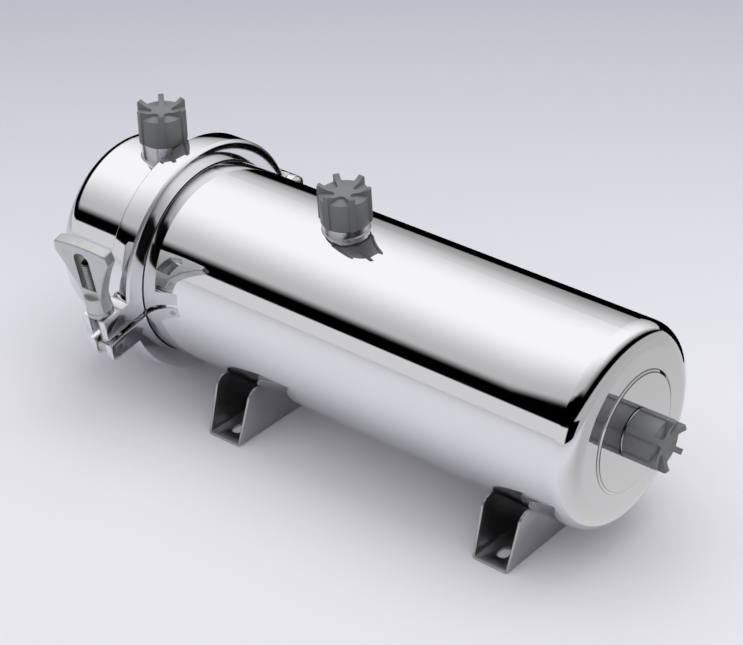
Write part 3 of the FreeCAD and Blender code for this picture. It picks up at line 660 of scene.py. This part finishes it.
class FILTER_OT_ports(bpy.types.Operator):
    """Model the three ports with their pipe threads and welds"""

    bl_idname = "filter.ports"
    bl_label = "Model the ports"

    def execute(self, context):
        threads = context.scene.filter_threads
        steel = brushed_steel(
            "Turned port steel", context.scene.filter_finishes.satin_steel, "Z", 0.16, 0.24)
        low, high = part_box("shell")
        shell_radius = (high[1] - low[1]) / 2
        # The radius is measured this far above the collar, past its edge
        above_collar = 2 * MM
        # Each port's cap, and how far its collar stands out of the wall
        for port, cap, collar_height in (
            ("shell_port", "shell_cap", 5.0 * MM),
            ("cover_port", "cover_cap", 10.6 * MM),
            ("end_port", "end_cap", 0.5 * MM),
        ):
            joint = JOINTS[cap + "_turn"]
            foot = Vector(joint["pos_m"])
            direction = Vector(joint["axis"]).normalized()
            curved = port != "end_port"
            surface = shell_radius if curved else high[0] - foot.x
            end = top_along(port, foot, direction)
            collar_top = end - threads.port_thread_length
            radius = widest_about(port, foot, direction, collar_top + above_collar, end)
            work = turned_collar(
                threads, collar_top, collar_top - collar_height - threads.collar_root)
            add_to(work, thread_barrel(
                collar_top - threads.overlap, end, radius, threads.port_depth,
                threads.port_pitch, threads.steps, threads.port_bore, threads.lead))
            add_to(work, weld_bead(threads, surface, curved))
            work.transform(standing(foot, direction))
            new_piece(port + "_threaded", work, steel, "housing", port)
        return {"FINISHED"}


class FILTER_OT_caps(bpy.types.Operator):
    """Finish the moulded caps, and the seals, gasket and rings of rubber"""

    bl_idname = "filter.caps"
    bl_label = "Finish the caps"

    def execute(self, context):
        finishes = context.scene.filter_finishes
        plastic = moulded_plastic("Moulded polypropylene", finishes.cap_plastic, 0.38, 0.5, 0.5, 0.03)
        for cap in ("shell_cap", "cover_cap", "end_cap"):
            softened_piece(cap, cap, context.scene.filter_edges.cap_edge, plastic)
        rubber = moulded_plastic("Black nitrile rubber", finishes.rubber, 0.5, 0.65, 0.3, 0.02)
        finish_nodes([
            "shell_cap_seal", "cover_cap_seal", "end_cap_seal", "clamp_gasket", "front_o_ring", "rear_o_ring",
        ], rubber)
        return {"FINISHED"}


class FILTER_OT_feet(bpy.types.Operator):
    """Finish the folded feet"""

    bl_idname = "filter.feet"
    bl_label = "Finish the feet"

    def execute(self, context):
        steel = brushed_steel(
            "Linished sheet steel", context.scene.filter_finishes.satin_steel, "Y", 0.26, 0.36)
        for foot in ("left_foot", "right_foot"):
            softened_piece(foot, "housing", context.scene.filter_edges.foot_edge, steel)
        return {"FINISHED"}


class FILTER_OT_cartridge(bpy.types.Operator):
    """Finish the cartridge inside the shell"""

    bl_idname = "filter.cartridge"
    bl_label = "Finish the cartridge"

    def execute(self, context):
        finishes = context.scene.filter_finishes
        plastic = moulded_plastic("Moulded white plastic", finishes.sleeve_plastic, 0.4, 0.5, 0.8, 0.02)
        finish_nodes(["cartridge_sleeve", "front_head_ring", "rear_head_ring"], plastic)
        resin = moulded_plastic("Cast potting resin", finishes.resin, 0.25, 0.4, 2.0, 0.02)
        finish_nodes(["front_resin_head", "rear_resin_head"], resin)
        finish_nodes(["fibre_bundle"], packed_fibre("Packed hollow fibres", finishes.fibre))
        return {"FINISHED"}


# Studio
def low_card(tree, outward, height, sideways, sign, edges, spread, brightness):
    """A pale card that stands low on one side of the filter.

    Its size is per unit of distance. Its top edge is the lowest of the lines in edges, each with the
    height straight ahead and the slope sideways.
    """
    nearest, top_blur, side_blur = 0.02, 0.01, 0.05
    distance = add_node(tree, "ShaderNodeMath", {0: outward, 1: float(sign)}, operation="MULTIPLY")
    near = add_node(tree, "ShaderNodeMath", {0: distance, 1: nearest}, operation="MAXIMUM")
    steep = add_node(tree, "ShaderNodeMath", {0: height, 1: near}, operation="DIVIDE")
    aside = add_node(tree, "ShaderNodeMath", {0: sideways, 1: near}, operation="DIVIDE")
    lines = [
        add_node(tree, "ShaderNodeMath", {0: aside, 1: slope, 2: start}, operation="MULTIPLY_ADD")
        for start, slope in edges
    ]
    top = lines[0]
    for line in lines[1:]:
        top = add_node(tree, "ShaderNodeMath", {0: top, 1: line}, operation="MINIMUM")
    above = add_node(tree, "ShaderNodeMath", {0: steep, 1: top}, operation="SUBTRACT")
    under = add_node(tree, "ShaderNodeMapRange", {
        "Value": above, "From Min": -top_blur, "From Max": top_blur, "To Min": 1.0, "To Max": 0.0,
    })
    within = add_node(tree, "ShaderNodeMapRange", {
        "Value": aside, "From Min": spread - side_blur, "From Max": spread + side_blur,
        "To Min": 1.0, "To Max": 0.0,
    })
    facing = add_node(tree, "ShaderNodeMath", {0: distance, 1: nearest}, operation="GREATER_THAN")
    shown = under
    for share in (within, facing, brightness):
        shown = add_node(tree, "ShaderNodeMath", {0: shown, 1: share}, operation="MULTIPLY")
    return shown


def studio_cards(tree, split):
    """Low white cards at the front and at the right, with a dark studio around them."""
    along, across, height = (split.outputs[axis] for axis in "XYZ")
    front = low_card(
        tree, outward=across, height=height, sideways=along, sign=-1,
        edges=[(0.27, 0.0)], spread=0.30, brightness=0.78)
    right = low_card(
        tree, outward=along, height=height, sideways=across, sign=1,
        edges=[(0.52, 0.0), (0.674, 0.84), (0.638, -0.215)], spread=3.0, brightness=0.5)
    return add_node(tree, "ShaderNodeMath", {0: front, 1: right}, operation="MAXIMUM")


def make_world(stage):
    """The studio for polished surfaces, the light for matt ones and a plain pale background."""
    # Shares of the fill that come from the horizon and from straight above
    level_share, top_share = 0.15, 1.46
    world = bpy.data.worlds.new("Studio")
    world.use_nodes = True
    tree = world.node_tree
    tree.nodes.clear()
    path = add_node(tree, "ShaderNodeLightPath")
    direction = add_node(tree, "ShaderNodeSeparateXYZ", {
        "Vector": add_node(tree, "ShaderNodeTexCoord").outputs["Generated"],
    })
    plain = add_node(tree, "ShaderNodeBackground", {
        "Color": linear(stage.background_colour), "Strength": 1.0,
    })
    studio = add_node(tree, "ShaderNodeBackground", {
        "Color": studio_cards(tree, direction), "Strength": 1.0,
    })
    strength = add_node(tree, "ShaderNodeMapRange", {
        "Value": direction.outputs["Z"], "From Min": 0.0, "From Max": 1.0,
        "To Min": stage.fill * level_share, "To Max": stage.fill * top_share,
    })
    fill = add_node(tree, "ShaderNodeBackground", {"Color": (1.0, 1.0, 1.0, 1.0), "Strength": strength})
    seen = add_node(tree, "ShaderNodeMixShader", {
        "Fac": path.outputs["Is Camera Ray"], 1: studio, 2: plain,
    })
    lit = add_node(tree, "ShaderNodeMixShader", {
        "Fac": path.outputs["Is Diffuse Ray"], 1: seen, 2: fill,
    })
    add_node(tree, "ShaderNodeOutputWorld", {"Surface": lit})
    bpy.context.scene.world = world


def make_floor(stage):
    """A wide sheet of pale matt paper, darker away from the camera: painted shade where the light falls off
    towards the back.
    """
    away, far, half_size = (-0.628, 0.778, 0.0), 0.7, 20
    material, tree, place = new_material("Pale paper")
    depth = add_node(tree, "ShaderNodeVectorMath", {0: place, 1: away}, operation="DOT_PRODUCT")
    share = add_node(tree, "ShaderNodeMapRange", {
        "Value": depth.outputs["Value"], "From Min": 0.0, "From Max": far, "To Min": 0.0, "To Max": 1.0,
    })
    # Painted shade: the floor takes the far colour with depth
    colour = add_node(tree, "ShaderNodeMix", {
        "Factor": share, 6: linear(stage.floor_colour), 7: linear(stage.floor_far_colour),
    }, data_type="RGBA")
    shader = add_node(tree, "ShaderNodeBsdfDiffuse", {"Color": colour.outputs[2], "Roughness": 0.8})
    add_node(tree, "ShaderNodeOutputMaterial", {"Surface": shader})
    work = bmesh.new()
    bmesh.ops.create_grid(work, x_segments=1, y_segments=1, size=half_size)
    mesh_object("floor", work, material)


def glossy_only(name, work, material):
    """A stage object that only reflections show."""
    card = mesh_object(name, work, material)
    card.visible_camera = False
    card.visible_diffuse = False
    card.visible_shadow = False
    card.visible_transmission = False


def make_softbox():
    """A long softbox arched over the filter, which only polished surfaces show.

    It is brightest straight above and fades to the front, to the back and to its right end. A dark
    gap and a grey cloth follow to the right.
    """
    axis, reach, left, right = 84.5 * MM, 0.6, -1.9, 3.0
    arc = math.radians(156)
    material, tree, coordinates = new_material("Softbox cloth")
    place = add_node(tree, "ShaderNodeSeparateXYZ", {"Vector": coordinates})
    height = add_node(tree, "ShaderNodeMath", {0: place.outputs["Z"], 1: axis}, operation="SUBTRACT")
    turn = add_node(tree, "ShaderNodeMath", {0: height, 1: place.outputs["Y"]}, operation="ARCTAN2")
    share = add_node(tree, "ShaderNodeMath", {0: turn, 1: math.pi}, operation="DIVIDE")

    # The front edge comes in, first fast and then slowly, along these stretches of X
    for start, end, shift in ((-0.08, -0.02, 0.04), (-0.02, 0.345, 0.085)):
        cut = add_node(tree, "ShaderNodeMapRange", {
            "Value": place.outputs["X"], "From Min": start, "From Max": end, "To Min": 0.0, "To Max": shift,
        })
        share = add_node(tree, "ShaderNodeMath", {0: share, 1: cut}, operation="ADD")

    # Dim at the back edge, even overhead, dimmer to a soft front edge
    stops = ((0.0, 0.3), (0.4, 1.2), (0.55, 1.2), (0.8, 0.6), (0.85, 0.0))
    ramp = add_node(tree, "ShaderNodeValToRGB", {"Fac": share})
    ramp.color_ramp.interpolation = "EASE"
    elements = ramp.color_ramp.elements
    while len(elements) < len(stops):
        elements.new(1.0)
    for element, (position, value) in zip(elements, stops):
        element.position = position
        element.color = (value, value, value, 1.0)

    # Distances aside per unit of height: where the cloth fades in, and where the grey one does
    right_start, right_dark, right_lit = 0.255, 0.18, -0.42
    left_start, left_dark, left_lit = -0.135, -2.3, -1.6
    gap_start, gap_end, grey_level = 0.9, 1.15, 0.52
    edge_start, edge_slope, lowest = 0.65, 0.08, 0.02
    rise = add_node(tree, "ShaderNodeMath", {0: height, 1: lowest}, operation="MAXIMUM")
    back = add_node(tree, "ShaderNodeMath", {0: place.outputs["Y"], 1: rise}, operation="DIVIDE")
    edge = add_node(tree, "ShaderNodeMath", {
        0: back, 1: edge_slope, 2: edge_start,
    }, operation="MULTIPLY_ADD")
    aside = []
    for start in (right_start, left_start):
        offset = add_node(tree, "ShaderNodeMath", {
            0: place.outputs["X"], 1: start,
        }, operation="SUBTRACT")
        aside.append(add_node(tree, "ShaderNodeMath", {0: offset, 1: rise}, operation="DIVIDE"))
    past = add_node(tree, "ShaderNodeMath", {0: aside[0], 1: edge}, operation="SUBTRACT")
    grey = add_node(tree, "ShaderNodeMapRange", {
        "Value": past, "From Min": gap_start, "From Max": gap_end, "To Min": 0.0, "To Max": grey_level,
    })
    right_fade = add_node(tree, "ShaderNodeMapRange", {
        "Value": past, "From Min": right_dark, "From Max": right_lit, "To Min": 0.0, "To Max": 1.0,
    })
    left_fade = add_node(tree, "ShaderNodeMapRange", {
        "Value": aside[1], "From Min": left_dark, "From Max": left_lit, "To Min": 0.0, "To Max": 1.0,
    })
    lit = add_node(tree, "ShaderNodeMath", {0: right_fade, 1: left_fade}, operation="MULTIPLY")
    brightness = add_node(tree, "ShaderNodeMath", {0: ramp, 1: lit, 2: grey}, operation="MULTIPLY_ADD")
    glow = add_node(tree, "ShaderNodeEmission", {"Strength": brightness})
    add_node(tree, "ShaderNodeOutputMaterial", {"Surface": glow})

    work = bmesh.new()
    verts = [work.verts.new((x, reach, axis)) for x in (left, right)]
    bmesh.ops.spin(
        work, geom=verts + [work.edges.new(verts)], cent=(0, 0, axis), axis=(1, 0, 0), dvec=(0, 0, 0),
        angle=arc, steps=96, use_merge=False, use_duplicate=False)
    glossy_only("softbox", work, material)


def make_grey_card():
    """A grey card that lies past the closed end and fades out at its front.

    It is brightest beside the end. Only polished surfaces show it.
    """
    near, far, front, back, level = 0.262, 12.0, -0.6, 12.0, 0.5 * MM
    clear_to, solid_from = -0.28, -0.05
    dim_from, near_glow, far_glow = 0.4, 0.74, 0.55
    material, tree, coordinates = new_material("Grey card")
    place = add_node(tree, "ShaderNodeSeparateXYZ", {"Vector": coordinates})
    solid = add_node(tree, "ShaderNodeMapRange", {
        "Value": place.outputs["Y"], "From Min": clear_to, "From Max": solid_from,
        "To Min": 0.0, "To Max": 1.0,
    })
    brightness = add_node(tree, "ShaderNodeMapRange", {
        "Value": place.outputs["X"], "From Min": near, "From Max": dim_from,
        "To Min": near_glow, "To Max": far_glow,
    })
    glow = add_node(tree, "ShaderNodeEmission", {"Strength": brightness})
    clear = add_node(tree, "ShaderNodeBsdfTransparent")
    shader = add_node(tree, "ShaderNodeMixShader", {"Fac": solid, 1: clear, 2: glow})
    add_node(tree, "ShaderNodeOutputMaterial", {"Surface": shader})
    work = bmesh.new()
    corners = [(near, front, level), (far, front, level), (far, back, level), (near, back, level)]
    work.faces.new([work.verts.new(corner) for corner in corners])
    glossy_only("grey_card", work, material)


def make_flag():
    """A black card behind the filter that only polished surfaces show."""
    left, right, back = -1.2, 0.29, 0.25
    tall_left, tall_right = 0.21, 0.145
    material, tree, place = new_material("Black flag")
    shader = add_node(tree, "ShaderNodeBsdfDiffuse", {"Color": (0.0, 0.0, 0.0, 1.0)})
    add_node(tree, "ShaderNodeOutputMaterial", {"Surface": shader})
    work = bmesh.new()
    corners = [(left, back, 0), (right, back, 0), (right, back, tall_right), (left, back, tall_left)]
    work.faces.new([work.verts.new(corner) for corner in corners])
    glossy_only("flag", work, material)


def make_key(stage):
    """A large soft lamp overhead for the matt surfaces and the floor's shadow."""
    target = Vector((0.07, 0, 0.05))
    data = bpy.data.lights.new("key", "AREA")
    data.shape = "RECTANGLE"
    data.size = 1.6
    data.size_y = 1.2
    data.energy = stage.key_power
    lamp = in_scene("key", data)
    lamp.location = (0.1, 0.35, 1.5)
    lamp.rotation_euler = (target - lamp.location).to_track_quat("-Z", "Y").to_euler()
    lamp.visible_glossy = False


def make_camera(stage):
    """The camera at the photograph's place."""
    data = bpy.data.cameras.new("camera")
    data.sensor_width = 36
    data.lens = stage.camera_lens
    camera = in_scene("camera", data)
    camera.location = stage.camera_place
    towards = Vector(stage.camera_target) - Vector(stage.camera_place)
    camera.rotation_euler = towards.to_track_quat("-Z", "Y").to_euler()
    bpy.context.scene.camera = camera


class FILTER_OT_stage(bpy.types.Operator):
    """Set the camera, the floor and the studio lights"""

    bl_idname = "filter.stage"
    bl_label = "Set the stage"

    def execute(self, context):
        stage = context.scene.filter_stage
        make_camera(stage)
        make_world(stage)
        make_floor(stage)
        make_softbox()
        make_flag()
        make_grey_card()
        make_key(stage)
        context.scene.view_settings.view_transform = "Standard"
        return {"FINISHED"}


class FILTER_PT_panel(bpy.types.Panel):
    """Colours, sizes and steps of the water filter"""

    bl_label = "Water filter"
    bl_idname = "FILTER_PT_panel"
    bl_space_type = "VIEW_3D"
    bl_region_type = "UI"
    bl_category = "Filter"

    def draw(self, context):
        for group_name in GROUPS:
            group = getattr(context.scene, group_name)
            box = self.layout.box()
            for name in group.bl_rna.properties.keys():
                if name not in ("rna_type", "name"):
                    box.prop(group, name)
        for step in STEPS:
            self.layout.operator(step.bl_idname)


GROUPS = {
    "filter_finishes": FilterFinishes,
    "filter_edges": FilterEdges,
    "filter_threads": FilterThreads,
    "filter_stage": FilterStage,
}
STEPS = (
    FILTER_OT_housing, FILTER_OT_clamp, FILTER_OT_swing_bolt, FILTER_OT_wing_nut, FILTER_OT_ports,
    FILTER_OT_caps, FILTER_OT_feet, FILTER_OT_cartridge, FILTER_OT_stage,
)


def register():
    for group in (*GROUPS.values(), *STEPS, FILTER_PT_panel):
        bpy.utils.register_class(group)
    for name, group in GROUPS.items():
        setattr(bpy.types.Scene, name, PointerProperty(type=group))


def unregister():
    for name in GROUPS:
        delattr(bpy.types.Scene, name)
    for group in (FILTER_PT_panel, *reversed(STEPS), *reversed(list(GROUPS.values()))):
        bpy.utils.unregister_class(group)


def main():
    register()
    for step in STEPS:
        operator_name = step.bl_idname.split(".")[1]
        getattr(bpy.ops.filter, operator_name)()


if __name__ == "__main__":
    main()
